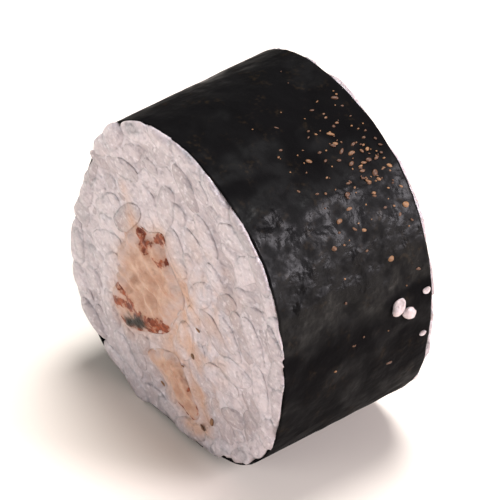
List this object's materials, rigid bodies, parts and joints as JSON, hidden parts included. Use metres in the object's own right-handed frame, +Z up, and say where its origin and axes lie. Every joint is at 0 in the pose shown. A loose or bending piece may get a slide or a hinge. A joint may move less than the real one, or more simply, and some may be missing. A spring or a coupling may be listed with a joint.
{
  "type": "maki sushi slice",
  "caption": "Thick round slice of a sushi roll lying on its side: a sheet of nori wound round a bed of rice, with strips of glazed eel running through from one cut face to the other.",
  "frame": {"origin": "on the table, under the middle of the slice", "axes": "+Y along the roll from the front cut face to the back one, +Z up, +X to the right as the front face is seen"},
  "size_m": [0.0348, 0.0202, 0.037],
  "materials": {
    "nori": "satin",
    "rice": "satin",
    "eel": "satin"
  },
  "bodies": {
    "root": {"nori": "nori", "rice": "rice", "eel_upper": "eel", "eel_lower": "eel"}
  },
  "joints": []
}
